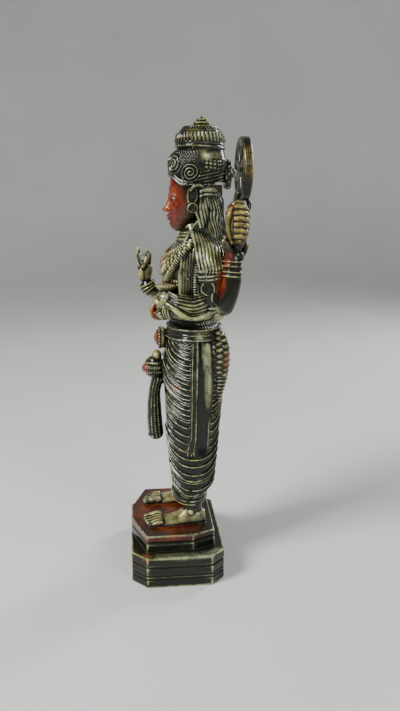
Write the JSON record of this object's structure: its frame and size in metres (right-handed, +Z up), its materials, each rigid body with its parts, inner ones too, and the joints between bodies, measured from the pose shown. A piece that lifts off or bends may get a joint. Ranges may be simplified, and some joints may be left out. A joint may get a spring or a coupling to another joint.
{
  "type": "four-armed standing figure on a two-tier plinth",
  "caption": "Four-armed standing Dhanvantari statuette with crown, conch, disc, pot and pleated robe, cast in one with its two-tier plinth.",
  "frame": {"origin": "middle of the plinth's flat underside", "axes": "+Z up to the finial, the figure faces -Y, its left side is +X"},
  "size_m": [0.1089, 0.0876, 0.3],
  "materials": {
    "antiqued_glaze": "cast resin under a glossy black-brown glaze, red-brown undercoat on skin, feet and plinth top, pale green-gold dry brushing on the raised carving"
  },
  "bodies": {
    "root": {"dhanvantari_figure": "antiqued_glaze"}
  },
  "joints": []
}
